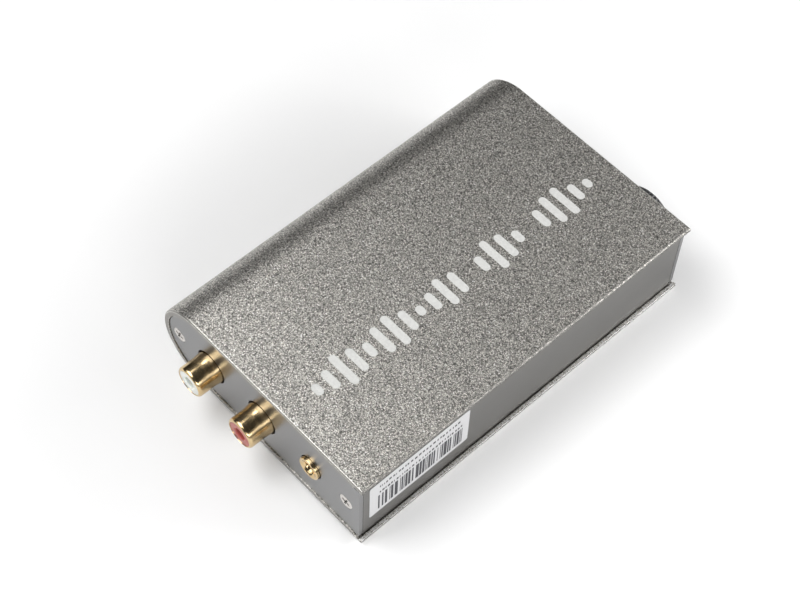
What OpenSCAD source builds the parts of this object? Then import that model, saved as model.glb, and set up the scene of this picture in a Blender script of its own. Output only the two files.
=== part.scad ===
// Desktop digital-to-analogue converter: a flat aluminium case with a half-round spine.
// Millimetres, +Z up. The origin is under the middle of the whole object, on the surface it stands on.
// The output end faces -Y, the control end faces +Y, and the side panel is on +X.

/* [Case] */
// Width of the case, from the spine to the edge of the lips
case_w = 70; // [68:0.5:74]
// Length of the case
case_l = 106; // [104:0.5:120]
// Height of the case, which is also the diameter of the spine
case_h = 25; // [25:0.5:26]
// Thickness of the extruded cover
wall = 1.7; // [1.4:0.1:1.8]
// Bevel on the cut edges of the cover
bevel = 0.35; // [0.2:0.05:0.5]
// How far the lips stand past the side panel
lip_overhang = 1.2; // [1:0.1:1.6]

/* [End plates] */
// Thickness of each end plate
plate_t = 1.2; // [1:0.1:1.5]
// How deep each end plate sits inside the cover
plate_inset = 0.3; // [0.1:0.1:0.6]
// Gap between an end plate and the cover around it
plate_gap = 0.15; // [0.1:0.05:0.3]

/* [Output sockets] */
// Place of the left phono socket, from the spine
rca_left_x = 17.2; // [16:0.1:19]
// Distance between the two phono sockets
rca_spacing = 18.2; // [17:0.1:20]
// Radius of a phono socket's barrel
rca_r = 4.15; // [4.05:0.05:4.2]
// How far a phono socket stands out of the case
rca_proud = 6.4; // [6:0.1:8]
// Place of the headphone socket, from the spine
jack_x = 52.6; // [50:0.1:54]

/* [Controls] */
// Place of the volume knob, from the spine
knob_x = 54.5; // [50:0.1:56]
// Diameter of the volume knob
knob_d = 16; // [12:0.5:18]
// How far the volume knob stands out of the case
knob_proud = 4; // [4:0.1:8]
// Place of the USB socket, from the spine
usb_x = 20; // [18:0.5:26]
// Place of the power lamp, from the spine
led_x = 38; // [34:0.5:42]

/* [Underside] */
// Height of the rubber feet
foot_h = 1; // [0.5:0.1:2]
// Diameter of the rubber feet
foot_d = 8; // [6:0.5:10]

/* [Board] */
// Height of the board's upper face above the underside of the cover
board_top = 6.5; // [6.3:0.1:6.6]
// Thickness of the circuit board
board_t = 1.6; // [1.2:0.2:1.6]

/* [Hidden] */

round_fn = 96;
fine_fn = 48;
eps = 0.01;
fit_gap = 0.02;

spine_r = case_h / 2;
mid_z = case_h / 2;
output_end_y = rca_proud - (rca_proud + case_l + knob_proud) / 2;
plate_back = plate_inset + plate_t;
inner_start = plate_back + 0.1;
inner_end = case_l - inner_start;

panel_out = case_w - lip_overhang;
panel_t = 1.6;
groove_x = panel_out - panel_t - 0.1;
lip_x = panel_out + 0.3;
lip_h = 1.1;
groove_floor = 0.6;

screw_left_x = 5.4;
screw_right_x = 64.4;
screw_head_r = 2.1;
screw_r = 1.25;
screw_l = 7;
channel_r = 2.5;
cross_w = 0.6;
output_screw_turn = 18;
control_screw_turn = 40;

slot_gap = 0.1;
rail_t = 1.2;
board_bottom = board_top - board_t;
board_left = 5.2;
board_right = groove_x - 0.3;
board_start = 3;
board_end = case_l - 3;
solder_depth = 0.9;

rca_right_x = rca_left_x + rca_spacing;
rca_flare = 0.35;
rca_hole_r = rca_r + rca_flare + 0.25;
rca_sleeve_r = rca_r - 0.25;
rca_body_l = 10;
pin_r = 1.65;
contact_r = pin_r + 0.53;
insulator_r = 3.45;

plug_r = 1.8;
jack_proud = 0.6;
jack_r = 3.15;
jack_end = 15;

shaft_r = 3;
shaft_flat = 1.5;
bushing_r = 3.5;
terminal_pitch = 2.5;
pot_front = case_l - 2.8;
pot_back = pot_front - 7;
pot_half_w = 4.9;
pot_cavity_r = 4.3;

usb_w = 12;
usb_h = 10.9;
usb_l = 16;
usb_face = case_l + 0.3;
usb_back = usb_face - usb_l;
usb_mid = board_top + usb_h / 2;
usb_depth = 9.2;
usb_skin = 0.35;
usb_pin_x = 1.25;
usb_pin_z = 1.4;

led_r = 1.5;
led_flange = 0.25;

label_t = 0.1;
label_l = 30.6;
label_h = 13.6;
label_y = 3.4;
label_z = 6.9;
print_t = 0.05;

lead_r = 0.3;
lead_pitch = 2.5;
relay_x = 30;
relay_pin_x = 3.8;
relay_pin_y = [40, 47.6];

aluminium_grey = [0.56, 0.55, 0.53];
smooth_grey = [0.6, 0.6, 0.6];
gold = [0.83, 0.66, 0.3];
nickel = [0.78, 0.77, 0.74];
tin = [0.75, 0.76, 0.77];
soft_black = [0.06, 0.06, 0.065];
chip_black = [0.09, 0.09, 0.1];

// ---------- placing and shared shapes ----------

// Case coordinates: x from the spine, y from the output end, z from the cover's underside.
module in_case() {
    translate([-case_w / 2, output_end_y, foot_h]) children();
}

// Turns a shape drawn about +Z so that it lies about a line along +Y.
module about_y(x, z) {
    translate([x, 0, z]) rotate([-90, 0, 0]) children();
}

// A section drawn in X and Z, extruded from y0 to y1.
module run_y(y0, y1) {
    translate([0, y1, 0]) rotate([90, 0, 0]) linear_extrude(y1 - y0) children();
}

module rod_y(x, z, r, y0, y1, fn = fine_fn) {
    translate([x, y0, z]) rotate([-90, 0, 0]) cylinder(h = y1 - y0, r = r, $fn = fn);
}

module block(x0, x1, y0, y1, z0, z1) {
    translate([x0, y0, z0]) cube([x1 - x0, y1 - y0, z1 - z0]);
}

// Distance of the spine's surface from x = 0, at height z and depth inset inside the outside face.
function spine_x(z, inset) = spine_r - sqrt(pow(spine_r - inset, 2) - pow(spine_r - z, 2));

// The case's outline, drawn inset from the outside face and ending at x = right.
module case_outline(inset, right) {
    intersection() {
        translate([spine_r, spine_r]) circle(spine_r - inset, $fn = round_fn);
        translate([inset, 0]) square([spine_r - inset, case_h]);
    }
    translate([spine_r, inset]) square([right - spine_r, case_h - 2 * inset]);
}

// ---------- extruded cover ----------

module lip_corner(z, side) {
    polygon([[case_w - bevel, z], [case_w + 1, z - side * (bevel + 1)], [case_w + 1, z]]);
}

module cover_section() {
    difference() {
        case_outline(0, case_w);
        case_outline(wall, case_w + 1);
        // grooves that hold the side panel, and the thinner lips outside them
        translate([groove_x, groove_floor]) square([lip_x - groove_x, case_h - 2 * groove_floor]);
        translate([lip_x - eps, lip_h]) square([case_w, case_h - 2 * lip_h]);
        lip_corner(case_h, 1);
        lip_corner(0, -1);
    }
}

// Screw channel and board rails along the inside of the spine.
module spine_ribs() {
    difference() {
        union() {
            translate([screw_left_x, mid_z]) circle(channel_r, $fn = fine_fn);
            translate([wall / 2, mid_z - 1]) square([screw_left_x - wall / 2, 2]);
            for (z = [board_top + slot_gap, board_bottom - slot_gap - rail_t]) {
                start = spine_x(z + rail_t / 2, wall / 2);
                translate([start, z]) square([7.6 - start, rail_t]);
            }
        }
        translate([screw_left_x, mid_z]) circle(screw_r + fit_gap, $fn = fine_fn);
    }
}

// Cuts a 45 degree bevel round the outside of one end of the cover; the end plane is y = 0.
module end_bevel() {
    intersection() {
        about_y(spine_r, spine_r) rotate_extrude($fn = round_fn)
            polygon([
                [spine_r - bevel, 0], [spine_r + 1, bevel + 1],
                [spine_r + 1, -1], [spine_r - bevel, -1]
            ]);
        block(-2, spine_r, -2, 2, -2, case_h + 2);
    }
    for (flip = [0, 1]) {
        translate([0, 0, flip * case_h]) mirror([0, 0, flip])
            translate([spine_r, 0, 0]) rotate([90, 0, 90]) linear_extrude(case_w)
                polygon([[-1, bevel], [0, bevel], [bevel + 1, -1], [-1, -1]]);
    }
}

module cover_shell() {
    color(aluminium_grey) in_case() {
        difference() {
            union() {
                run_y(0, case_l) cover_section();
                run_y(inner_start, inner_end) spine_ribs();
            }
            end_bevel();
            translate([0, case_l, 0]) mirror([0, 1, 0]) end_bevel();
        }
    }
}

module side_panel() {
    color(smooth_grey) in_case() run_y(inner_start, inner_end) {
        difference() {
            union() {
                translate([panel_out - panel_t, groove_floor + slot_gap])
                    square([panel_t, case_h - 2 * (groove_floor + slot_gap)]);
                translate([screw_right_x, mid_z]) circle(channel_r, $fn = fine_fn);
                translate([screw_right_x, mid_z - 1]) square([panel_out - screw_right_x - 0.5, 2]);
                for (z = [board_top + slot_gap, board_bottom - slot_gap - rail_t]) {
                    translate([groove_x - 2.2, z]) square([3, rail_t]);
                }
            }
            translate([screw_right_x, mid_z]) circle(screw_r + fit_gap, $fn = fine_fn);
        }
    }
}

// ---------- end plates and their screws ----------

module countersink(x) {
    about_y(x, mid_z) rotate_extrude($fn = fine_fn)
        polygon([
            [0, plate_inset - 1], [screw_head_r + 0.05, plate_inset - 1],
            [screw_head_r + 0.05, plate_inset + 0.1], [screw_r + 0.1, plate_inset + 0.95],
            [screw_r + 0.1, plate_back + 1], [0, plate_back + 1]
        ]);
}

module plate_blank() {
    difference() {
        run_y(plate_inset, plate_back) case_outline(wall + plate_gap, panel_out);
        countersink(screw_left_x);
        countersink(screw_right_x);
    }
}

module output_plate() {
    color(smooth_grey) in_case() difference() {
        plate_blank();
        rod_y(rca_left_x, mid_z, rca_hole_r, -1, 4, round_fn);
        rod_y(rca_right_x, mid_z, rca_hole_r, -1, 4, round_fn);
        rod_y(jack_x, mid_z, jack_r + 0.2, -1, 4, round_fn);
    }
}

module control_plate() {
    color(smooth_grey) in_case() difference() {
        translate([0, case_l, 0]) mirror([0, 1, 0]) plate_blank();
        block(usb_x - usb_w / 2 - 0.2, usb_x + usb_w / 2 + 0.2, case_l - 4, case_l + 1,
              board_top - 0.2, board_top + usb_h + 0.2);
        rod_y(led_x, mid_z, led_r + 0.1, case_l - 4, case_l + 1);
        rod_y(knob_x, mid_z, bushing_r + 0.2, case_l - 4, case_l + 1);
    }
}

// Countersunk screw with a cross recess; its head face is at y = 0 and its shank runs to +Y.
module plate_screw() {
    difference() {
        rotate([-90, 0, 0]) rotate_extrude($fn = fine_fn)
            polygon([
                [0, 0], [screw_head_r - 0.15, 0], [screw_head_r, 0.12], [screw_r, 0.97],
                [screw_r, screw_l - 0.5], [screw_r - 0.5, screw_l], [0, screw_l]
            ]);
        intersection() {
            rotate([-90, 0, 0]) cylinder(h = 1.15, r1 = 1.3, r2 = 0.45, $fn = fine_fn);
            union() {
                block(-2, 2, -1, 2, -cross_w / 2, cross_w / 2);
                block(-cross_w / 2, cross_w / 2, -1, 2, -2, 2);
            }
        }
    }
}

module panel_screws() {
    color(nickel) in_case() for (x = [screw_left_x, screw_right_x]) {
        translate([x, plate_inset, mid_z]) rotate([0, output_screw_turn, 0]) plate_screw();
        translate([x, case_l - plate_inset, mid_z]) mirror([0, 1, 0])
            rotate([0, control_screw_turn, 0]) plate_screw();
    }
}

// ---------- feet, print and label ----------

module rubber_feet() {
    color(soft_black) in_case() for (x = [spine_r + foot_d / 2 + 1, case_w - 8], y = [10, case_l - 10]) {
        translate([x, y, -foot_h]) rotate_extrude($fn = fine_fn)
            polygon([
                [0, 0], [foot_d / 2 - 0.8, 0], [foot_d / 2 - 0.35, 0.2],
                [foot_d / 2, foot_h - 0.1], [foot_d / 2, foot_h], [0, foot_h]
            ]);
    }
}

// Heights of the level bars printed on the lid, as shares of the tallest one.
bar_levels = [
    0.35, 0.6, 1, 0.75, 0.45, 0.85, 1, 0.65, 0.3, 0.55, 0.9, 0.7,
    0, 0.5, 1, 0.8, 0.4, 0, 0.6, 0.95, 1, 0.55, 0.3
];
bar_max = 9.6;
bar_w = 2.1;
bar_start = 10;
bar_end = 97;
bar_mid_x = 44;

module level_bar(h) {
    for (side = [-1, 1]) {
        translate([side * (h - bar_w) / 2, 0]) circle(bar_w / 2, $fn = 32);
    }
    square([h - bar_w + eps, bar_w], center = true);
}

module top_print() {
    pitch = (bar_end - bar_start) / (len(bar_levels) - 1);
    color([0.85, 0.85, 0.84]) in_case() translate([0, 0, case_h]) linear_extrude(print_t)
        for (i = [0 : len(bar_levels) - 1]) {
            if (bar_levels[i] > 0) {
                translate([bar_mid_x, bar_start + i * pitch]) level_bar(bar_levels[i] * bar_max);
            }
        }
}

module serial_label() {
    color([0.92, 0.92, 0.9]) in_case() translate([panel_out, label_y, label_z])
        cube([label_t, label_l, label_h]);
}

// ---------- phono sockets ----------

module rca_shell(x) {
    tip = -rca_proud;
    color(gold) in_case() {
        about_y(x, mid_z) rotate_extrude($fn = round_fn)
            polygon([
                [insulator_r, tip], [rca_r - 0.3, tip], [rca_r, tip + 0.3], [rca_r, -2.4],
                [rca_r + rca_flare, 0.2], [rca_r + rca_flare, inner_start + 0.1],
                [rca_sleeve_r, inner_start + 0.1], [rca_sleeve_r, 5], [insulator_r, 5]
            ]);
        // ground tag down to the board
        block(x - 0.5, x + 0.5, 3, 3.4, board_bottom - solder_depth, mid_z - rca_r + 0.35);
    }
}

module rca_insulator(x, tint) {
    tip = -rca_proud + 0.4;
    color(tint) in_case() about_y(x, mid_z) rotate_extrude($fn = round_fn)
        polygon([
            [pin_r, tip + 0.25], [pin_r + 0.25, tip], [insulator_r - 0.3, tip],
            [insulator_r - fit_gap, tip + 0.25], [insulator_r - fit_gap, 4.8],
            [contact_r + fit_gap, 4.8], [contact_r + fit_gap, tip + 1.1], [pin_r, tip + 1.1]
        ]);
}

module rca_contact(x) {
    color(gold) in_case() {
        about_y(x, mid_z) rotate_extrude($fn = fine_fn)
            polygon([
                [pin_r, -rca_proud + 1.52], [contact_r, -rca_proud + 1.52],
                [contact_r, 6.4], [0, 6.4], [0, 5.6], [pin_r, 5.6]
            ]);
        block(x - 0.5, x + 0.5, 6, 6.4, board_bottom - solder_depth, mid_z - 1);
    }
}

module rca_housing(x) {
    color(soft_black) in_case() difference() {
        block(x - 5, x + 5, inner_start + 0.12, inner_start + rca_body_l, board_top, mid_z + 5.5);
        rod_y(x, mid_z, rca_sleeve_r + fit_gap, 0, 5.05, round_fn);
        rod_y(x, mid_z, contact_r + fit_gap, 0, 6.42);
        block(x - 0.55, x + 0.55, 2.9, 3.5, 0, mid_z - 3);
        block(x - 0.55, x + 0.55, 5.9, 6.42, 0, mid_z);
        // moulding relief at the back
        block(x - 3.6, x + 3.6, 8.6, 20, board_top + 1.2, mid_z + 4);
    }
}

module rca_left_shell() { rca_shell(rca_left_x); }
module rca_left_insulator() { rca_insulator(rca_left_x, [0.93, 0.93, 0.9]); }
module rca_left_contact() { rca_contact(rca_left_x); }
module rca_left_housing() { rca_housing(rca_left_x); }
module rca_right_shell() { rca_shell(rca_right_x); }
module rca_right_insulator() { rca_insulator(rca_right_x, [0.72, 0.22, 0.22]); }
module rca_right_contact() { rca_contact(rca_right_x); }
module rca_right_housing() { rca_housing(rca_right_x); }

// ---------- headphone socket ----------

module phone_jack_bushing() {
    color(gold) in_case() about_y(jack_x, mid_z) rotate_extrude($fn = round_fn)
        polygon([
            [plug_r, 0], [plug_r + 0.6, -jack_proud], [jack_r - 0.2, -jack_proud],
            [jack_r, -jack_proud + 0.2], [jack_r, inner_start + 0.1],
            [jack_r - 0.5, inner_start + 0.1], [jack_r - 0.5, 3.8], [plug_r, 3.8]
        ]);
}

jack_contact_at = [[8, 1], [12, -1]];

module phone_jack_housing() {
    color(soft_black) in_case() difference() {
        block(jack_x - 5.5, jack_x + 5.5, inner_start + 0.12, jack_end, board_top, mid_z + 4.2);
        rod_y(jack_x, mid_z, jack_r - 0.5 + fit_gap, 0, 3.82, round_fn);
        rod_y(jack_x, mid_z, plug_r, 0, jack_end - 0.8);
        for (c = jack_contact_at) {
            translate([jack_x, c[0], 0]) mirror([c[1] < 0 ? 1 : 0, 0, 0]) {
                block(2.5, 3.1, -0.9, 0.9, 0, mid_z + 1);
                block(1.5, 2.6, -0.7, 0.7, mid_z - 0.6, mid_z + 0.6);
            }
        }
    }
}

module phone_jack_contacts() {
    color(tin) in_case() for (c = jack_contact_at) {
        translate([jack_x, c[0], 0]) mirror([c[1] < 0 ? 1 : 0, 0, 0]) {
            block(2.6, 3, -0.8, 0.8, board_bottom - solder_depth, mid_z + 0.9);
            block(1.9, 2.7, -0.5, 0.5, mid_z - 0.4, mid_z + 0.4);
        }
    }
}

// ---------- volume control ----------

knob_back = case_l + 0.1;
knob_front = case_l + knob_proud;
flute_count = 40;

// Outline of the knob's fluted grip.
module knob_grip() {
    difference() {
        circle(knob_d / 2, $fn = round_fn);
        for (i = [0 : flute_count - 1]) {
            rotate(i * 360 / flute_count) translate([knob_d / 2 + 0.18, 0]) circle(0.42, $fn = 16);
        }
    }
}

module volume_knob() {
    r = knob_d / 2;
    color(soft_black) in_case() difference() {
        intersection() {
            translate([knob_x, knob_back, mid_z]) rotate([-90, 0, 0])
                linear_extrude(knob_front - knob_back) knob_grip();
            about_y(knob_x, mid_z) rotate_extrude($fn = round_fn)
                polygon([
                    [0, knob_back], [r - 0.3, knob_back], [r + 0.05, knob_back + 0.35],
                    [r + 0.05, knob_front - 0.5], [r - 0.45, knob_front],
                    [r - 1.6, knob_front], [r - 2, knob_front - 0.2], [0, knob_front - 0.2]
                ]);
        }
        intersection() {
            rod_y(knob_x, mid_z, shaft_r + fit_gap, knob_back - 1, knob_front - 0.9);
            block(knob_x - 5, knob_x + 5, 0, 2 * case_l, 0, mid_z + shaft_r - shaft_flat + fit_gap);
        }
        // pointer groove
        block(knob_x - 0.35, knob_x + 0.35, knob_front - 0.5, knob_front + 1,
              mid_z + r - 4.6, mid_z + r - 2.3);
    }
}

module pot_shaft() {
    tip = knob_front - 1;
    color(tin) in_case() difference() {
        union() {
            rod_y(knob_x, mid_z, shaft_r, pot_front - 2, tip);
            rod_y(knob_x, mid_z, shaft_r + 0.6, pot_front - 2, pot_front - 1.1);
        }
        block(knob_x - 5, knob_x + 5, case_l - 0.4, tip + 1, mid_z + shaft_r - shaft_flat, mid_z + 9);
    }
}

module pot_wiper() {
    y = pot_front - 2;
    color([0.75, 0.5, 0.25]) in_case() {
        rod_y(knob_x, mid_z, 4, y - 0.8, y);
        for (r = [1.6, 2.9]) {
            block(knob_x + r - 0.4, knob_x + r + 0.4, y - 1.6, y - 0.5, mid_z - 0.4, mid_z + 0.4);
        }
    }
}

module pot_bushing() {
    color(tin) in_case() difference() {
        rod_y(knob_x, mid_z, bushing_r, pot_front, case_l - 0.4);
        rod_y(knob_x, mid_z, shaft_r + 0.05, pot_front - 1, case_l);
    }
}

module pot_housing() {
    color([0.62, 0.62, 0.6]) in_case() difference() {
        block(knob_x - pot_half_w, knob_x + pot_half_w, pot_back, pot_front, board_top, mid_z + 5.4);
        rod_y(knob_x, mid_z, pot_cavity_r, pot_back + 2, pot_front - 1);
        rod_y(knob_x, mid_z, shaft_r + 0.1, pot_front - 1.5, pot_front + 1);
        for (i = [-1 : 1]) {
            x = knob_x + i * terminal_pitch;
            block(x - 0.45, x + 0.45, pot_back - 1, pot_back + 0.7, 0, board_top + 2.8);
        }
    }
}

module pot_track() {
    color([0.14, 0.1, 0.07]) in_case() difference() {
        rod_y(knob_x, mid_z, pot_cavity_r - 0.05, pot_back + 2, pot_front - 3.7);
        rod_y(knob_x, mid_z, 0.9, pot_back, pot_front);
    }
}

module pot_terminals() {
    color(tin) in_case() for (i = [-1 : 1]) {
        x = knob_x + i * terminal_pitch;
        block(x - 0.4, x + 0.4, pot_back + 0.1, pot_back + 0.6,
              board_bottom - solder_depth, board_top + 2.7);
    }
}

// ---------- USB socket ----------

module usb_shell() {
    z0 = board_top;
    color(tin) in_case() {
        difference() {
            block(usb_x - usb_w / 2, usb_x + usb_w / 2, usb_back, usb_face, z0, z0 + usb_h);
            block(usb_x - usb_w / 2 + usb_skin, usb_x + usb_w / 2 - usb_skin,
                  usb_back + usb_skin, usb_face + 1, z0 + usb_skin, z0 + usb_h - usb_skin);
            // opening under the pins
            block(usb_x - 4, usb_x + 4, usb_back + 1.2, usb_back + 5.2, z0 - 1, z0 + 1);
        }
        for (side = [-1, 1]) {
            x = usb_x + side * (usb_w / 2 - usb_skin / 2);
            block(x - usb_skin / 2, x + usb_skin / 2, usb_face - 12, usb_face - 10,
                  board_bottom - solder_depth, z0 + 1);
        }
    }
}

// Mouth of the socket: a rectangle with its two upper corners cut off.
module usb_mouth() {
    w = 8.45;
    h = 7.78;
    cut = 1.9;
    polygon([[-w / 2, -h / 2], [w / 2, -h / 2], [w / 2, h / 2 - cut], [w / 2 - cut, h / 2],
             [-w / 2 + cut, h / 2], [-w / 2, h / 2 - cut]]);
}

module usb_housing() {
    z0 = board_top + usb_skin + fit_gap;
    half_w = usb_w / 2 - usb_skin - fit_gap;
    color([0.93, 0.93, 0.91]) in_case() {
        difference() {
            block(usb_x - half_w, usb_x + half_w, usb_back + usb_skin + fit_gap, usb_face - 0.2,
                  z0, board_top + usb_h - usb_skin - fit_gap);
            translate([usb_x, 0, usb_mid]) run_y(usb_face - usb_depth, usb_face + 1) usb_mouth();
            // chamber where the contacts turn down to the board
            block(usb_x - 4, usb_x + 4, usb_back + 1.2, usb_back + 5.2, 0, usb_mid + 2);
            for (side = [-1, 1], row = [-1, 1]) {
                translate([usb_x + side * usb_pin_x, 0, usb_mid + row * usb_pin_z])
                    block(-0.4, 0.4, usb_back + 5, usb_face - usb_depth + 0.1, -0.12, 0.12);
            }
        }
        block(usb_x - 2.8, usb_x + 2.8, usb_face - usb_depth - 0.2, usb_face - 1.2,
              usb_mid - 1.3, usb_mid + 1.3);
    }
}

module usb_contacts() {
    color(gold) in_case() for (side = [-1, 1], row = [-1, 1]) {
        back = usb_back + 2.8 - row;
        level = usb_mid + row * usb_pin_z;
        translate([usb_x + side * usb_pin_x, 0, 0]) {
            block(-0.35, 0.35, back, usb_face - 1.8, level - 0.1, level + 0.1);
            block(-0.3, 0.3, back, back + 0.5, board_bottom - solder_depth, level);
        }
    }
}

// ---------- power lamp ----------

module power_led() {
    color([0.75, 0.85, 1]) in_case() {
        about_y(led_x, mid_z) rotate_extrude($fn = fine_fn)
            polygon(concat(
                [
                    [0, case_l - 4.6], [led_r + led_flange, case_l - 4.6],
                    [led_r + led_flange, case_l - 3.8], [led_r, case_l - 3.8]
                ],
                [for (a = [0 : 10 : 90]) [led_r * cos(a), case_l - 1 + led_r * sin(a)]]
            ));
    }
}

module led_holder() {
    color(soft_black) in_case() difference() {
        block(led_x - 2.5, led_x + 2.5, case_l - 8.6, case_l - 2, board_top, mid_z + 2.5);
        rod_y(led_x, mid_z, led_r + 0.1, case_l - 9, case_l);
        rod_y(led_x, mid_z, led_r + led_flange + 0.05, case_l - 4.62, case_l);
        block(led_x - 1.7, led_x + 1.7, case_l - 9, case_l - 6.4, 0, mid_z + 0.6);
    }
}

module led_leads() {
    color(tin) in_case() for (side = [-1, 1]) {
        x = led_x + side;
        block(x - 0.25, x + 0.25, case_l - 7.4, case_l - 4.62, mid_z - 0.25, mid_z + 0.25);
        block(x - 0.25, x + 0.25, case_l - 7.4, case_l - 6.9, board_bottom - solder_depth, mid_z);
    }
}

// ---------- circuit board ----------

caps_tall = [[16, 24], [16, 33], [36.5, 24], [36.5, 33], [56, 28]];
caps_small = [[11, 46], [11, 55], [11, 64], [58, 60], [58, 69], [30, 82], [44, 82]];
cap_tall_d = 8;
cap_small_d = 5;
film_at = [[24, 21], [24, 29], [44.5, 21], [44.5, 29]];

module lead_hole(x, y, w = 1.3, l = 0.9) {
    block(x - w / 2, x + w / 2, y - l / 2, y + l / 2, 0, case_h);
}

module round_hole(x, y) {
    translate([x, y, 0]) cylinder(h = case_h, r = lead_r + 0.15, $fn = 24);
}

module main_board() {
    color([0.05, 0.28, 0.16]) in_case() difference() {
        block(board_left, board_right, board_start, board_end, board_bottom, board_top);
        for (x = [rca_left_x, rca_right_x]) {
            lead_hole(x, 3.2, 1.3, 1);
            lead_hole(x, 6.2);
        }
        for (c = jack_contact_at) {
            lead_hole(jack_x + c[1] * 2.8, c[0], 0.9, 2);
        }
        for (i = [-1 : 1]) {
            lead_hole(knob_x + i * terminal_pitch, pot_back + 0.35);
        }
        for (side = [-1, 1]) {
            lead_hole(usb_x + side * (usb_w / 2 - usb_skin / 2), usb_face - 11, 0.9, 2.4);
            lead_hole(led_x + side, case_l - 7.15, 0.9, 0.9);
            for (row = [-1, 1]) {
                lead_hole(usb_x + side * usb_pin_x, usb_back + 3.05 + row, 0.9, 0.8);
            }
        }
        for (p = concat(caps_tall, caps_small), side = [-1, 1]) {
            round_hole(p[0] + side * lead_pitch / 2, p[1]);
        }
        for (p = film_at, side = [-1, 1]) {
            round_hole(p[0], p[1] + side * lead_pitch);
        }
        for (side = [-1, 1], y = relay_pin_y) {
            round_hole(relay_x + side * relay_pin_x, y);
        }
    }
}

// A row of gull-wing legs along +Y, reaching out to +X from a package whose side is at x = 0.
module leg_row(count, pitch, leg_w, reach, rise) {
    for (i = [0 : count - 1]) {
        translate([0, (i - (count - 1) / 2) * pitch + leg_w / 2, 0]) rotate([90, 0, 0])
            linear_extrude(leg_w)
                polygon([
                    [-0.1, rise], [-0.1, rise + 0.15], [0.25, rise + 0.15], [0.45, 0.15],
                    [reach, 0.15], [reach, 0], [0.35, 0], [0.15, rise]
                ]);
    }
}

// A moulded chip on the board: length l along Y, legs on two sides, or on all four.
module chip(x, y, w, l, h, pins, pitch, sides = 2) {
    translate([x, y, board_top]) {
        difference() {
            translate([-w / 2, -l / 2, 0.1]) cube([w, l, h]);
            translate([-w / 2 + 0.9, l / 2 - 0.9, h]) cylinder(h = 1, r = 0.35, $fn = 24);
        }
        for (side = [0 : sides - 1]) {
            turn = sides == 2 ? side * 180 : side * 90;
            rotate(turn) translate([(side % 2 == 1 && sides == 4 ? l : w) / 2, 0, 0])
                leg_row(pins, pitch, pitch * 0.45, 1.0, h / 2);
        }
    }
}

module usb_controller_chip() { color(chip_black) in_case() chip(20, 72, 10, 10, 1.2, 12, 0.7, 4); }
module logic_chip() { color(chip_black) in_case() chip(42, 66, 14, 14, 1.3, 18, 0.7, 4); }
module converter_chip() { color(chip_black) in_case() chip(20.5, 51, 5.3, 10.2, 1.6, 14, 0.65); }
module flash_chip() { color(chip_black) in_case() chip(28, 62.5, 3.9, 4.9, 1.4, 4, 1.27); }
module headphone_amplifier() { color(chip_black) in_case() chip(52, 20, 3.9, 4.9, 1.4, 4, 1.27); }
module output_amplifiers() {
    color(chip_black) in_case() for (x = [19, 40]) {
        chip(x, 42, 3.9, 4.9, 1.4, 4, 1.27);
    }
}

module oval(l, w) {
    for (side = [-1, 1]) {
        translate([0, side * (l - w) / 2]) circle(w / 2, $fn = 32);
    }
    square([w, l - w], center = true);
}

module crystal_oscillators() {
    color(tin) in_case() for (p = [[30, 71.5], [53, 80]]) {
        translate([p[0], p[1], board_top]) {
            linear_extrude(0.5) oval(11.4, 4.9);
            linear_extrude(3.6) oval(10.4, 4);
        }
    }
}

// One round lead, from inside its part down through the board.
module lead() {
    translate([0, 0, -board_t - solder_depth])
        cylinder(h = board_t + solder_depth + 0.5, r = lead_r, $fn = 24);
}

module capacitor(x, y, d, h) {
    r = d / 2;
    translate([x, y, board_top]) {
        rotate_extrude($fn = fine_fn)
            polygon([
                [0, 0.3], [r - 0.2, 0.3], [r, 0.5], [r, 1.4], [r - 0.25, 1.7], [r, 2],
                [r, h - 0.3], [r - 0.3, h], [r - 0.8, h], [r - 0.9, h - 0.15], [0, h - 0.15]
            ]);
        for (side = [-1, 1]) {
            translate([side * lead_pitch / 2, 0, 0]) lead();
        }
    }
}

module electrolytic_capacitors() {
    color([0.1, 0.13, 0.22]) in_case() {
        for (p = caps_tall) {
            capacitor(p[0], p[1], cap_tall_d, 12);
        }
        for (p = caps_small) {
            capacitor(p[0], p[1], cap_small_d, 11);
        }
    }
}

module film_capacitors() {
    color([0.65, 0.12, 0.1]) in_case() for (p = film_at) {
        translate([p[0], p[1], board_top]) {
            translate([-1.75, -3.6, 0.2]) cube([3.5, 7.2, 7.5]);
            for (side = [-1, 1]) {
                translate([0, side * lead_pitch, 0]) lead();
            }
        }
    }
}

module power_inductors() {
    color([0.2, 0.2, 0.21]) in_case() for (p = [[14, 84], [59, 88.5]]) {
        translate([p[0], p[1], board_top]) difference() {
            translate([-3, -3, 0]) cube([6, 6, 3]);
            difference() {
                translate([0, 0, 2.4]) cylinder(h = 1, r = 2.5, $fn = fine_fn);
                translate([0, 0, 2.3]) cylinder(h = 2, r = 1.9, $fn = fine_fn);
            }
        }
    }
}

module voltage_regulators() {
    color(chip_black) in_case() for (p = [[22, 84], [52, 52], [38, 54]]) {
        translate([p[0], p[1], board_top]) {
            translate([-1.75, -3.25, 0.05]) cube([3.5, 6.5, 1.6]);
            for (i = [-1 : 1]) {
                translate([1.7, i * 2.3 - 0.35, 0]) cube([1.6, 0.7, 0.3]);
            }
            translate([-3.3, -1.5, 0]) cube([1.6, 3, 0.3]);
        }
    }
}

module mute_relay() {
    color([0.88, 0.86, 0.8]) in_case() {
        difference() {
            block(relay_x - 4.5, relay_x + 4.5, 37, 50, board_top + 0.3, board_top + 5.3);
            block(relay_x - 3, relay_x + 3, 38.5, 48.5, board_top + 5.2, board_top + 6);
        }
        for (side = [-1, 1], y = relay_pin_y) {
            translate([relay_x + side * relay_pin_x, y, board_top]) lead();
        }
    }
}

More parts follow.
